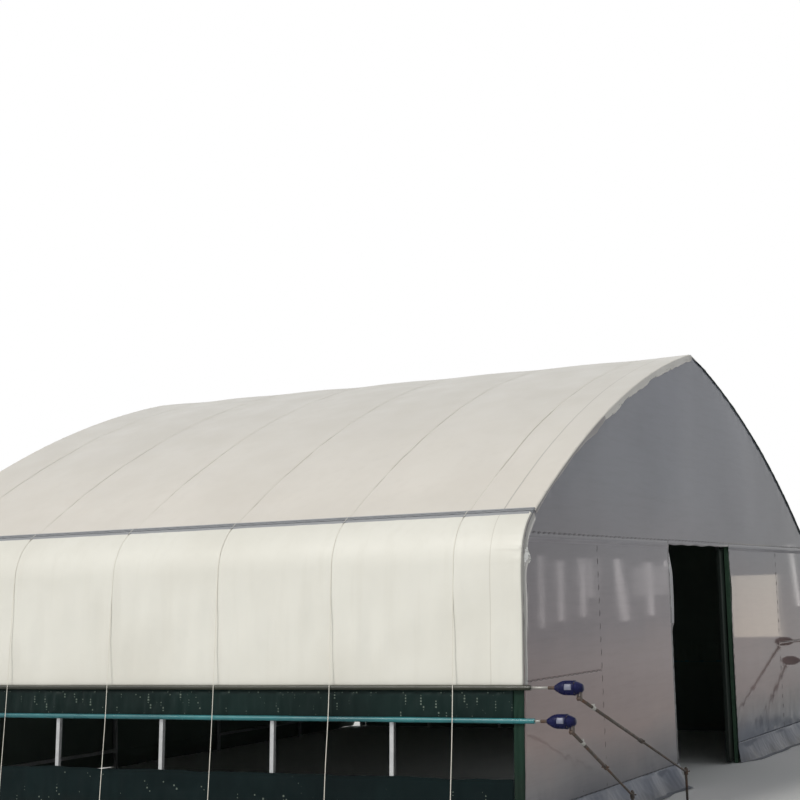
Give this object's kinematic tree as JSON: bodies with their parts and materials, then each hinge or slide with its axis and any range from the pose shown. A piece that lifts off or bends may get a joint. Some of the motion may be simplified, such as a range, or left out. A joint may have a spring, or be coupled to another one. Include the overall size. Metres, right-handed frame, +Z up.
{
  "type": "arched film tunnel greenhouse",
  "caption": "Arched tunnel greenhouse of film over steel hoops, with roll-up side vents, a wide doorway and a sliding door leaf.",
  "frame": {"origin": "on the ground under the middle of the whole, roll drives included", "axes": "+X across the house to the right seen from the door, +Y from the door end to the back, +Z up"},
  "size_m": [8.9382, 6.6542, 3.8924],
  "materials": {
    "galvanised_steel": "galvanised",
    "white_film": "glossy",
    "green_film": "glossy",
    "teal_roll": "glossy",
    "olive_roll": "glossy",
    "blue_housing": "glossy",
    "brown_steel": "weathered",
    "belt": "matt"
  },
  "bodies": {
    "house": {"legs_right": "galvanised_steel", "legs_left": "galvanised_steel", "arches_right": "galvanised_steel", "arches_left": "galvanised_steel", "purlins": "galvanised_steel", "front_posts": "galvanised_steel", "front_girts": "galvanised_steel", "back_posts": "galvanised_steel", "back_girts": "galvanised_steel", "front_upper_film": "white_film", "front_right_film": "white_film", "front_left_film": "white_film", "front_corner_film_right": "white_film", "front_corner_film_left": "white_film", "back_film": "white_film", "roof_film_right": "white_film", "roof_film_left": "white_film", "roof_film_folds": "white_film", "side_film_right": "white_film", "side_film_left": "white_film", "inner_curtain_right": "green_film", "inner_curtain_left": "green_film", "base_skirts": "green_film", "corner_laps": "green_film", "ground_skirts": "white_film", "eave_channel_right": "galvanised_steel", "eave_channel_left": "galvanised_steel", "front_channels": "galvanised_steel", "back_channels": "galvanised_steel", "upper_roll_right": "olive_roll", "upper_roll_left": "olive_roll", "lower_roll_right": "teal_roll", "lower_roll_left": "teal_roll", "upper_drive_right": "blue_housing", "upper_drive_left": "blue_housing", "lower_drive_right": "blue_housing", "lower_drive_left": "blue_housing", "guide_arms_right": "brown_steel", "guide_arms_left": "brown_steel", "press_belts": "belt", "stakes_and_pegs": "brown_steel", "door_track": "galvanised_steel"},
    "door": {"door_leaf_frame": "galvanised_steel", "door_leaf_film": "white_film", "door_hangers": "galvanised_steel"}
  },
  "joints": [
    {"name": "door_slide", "type": "slide", "parent": "house", "child": "door", "axis": [1, 0, 0], "range_m": [-1.79, 0.15]}
  ]
}
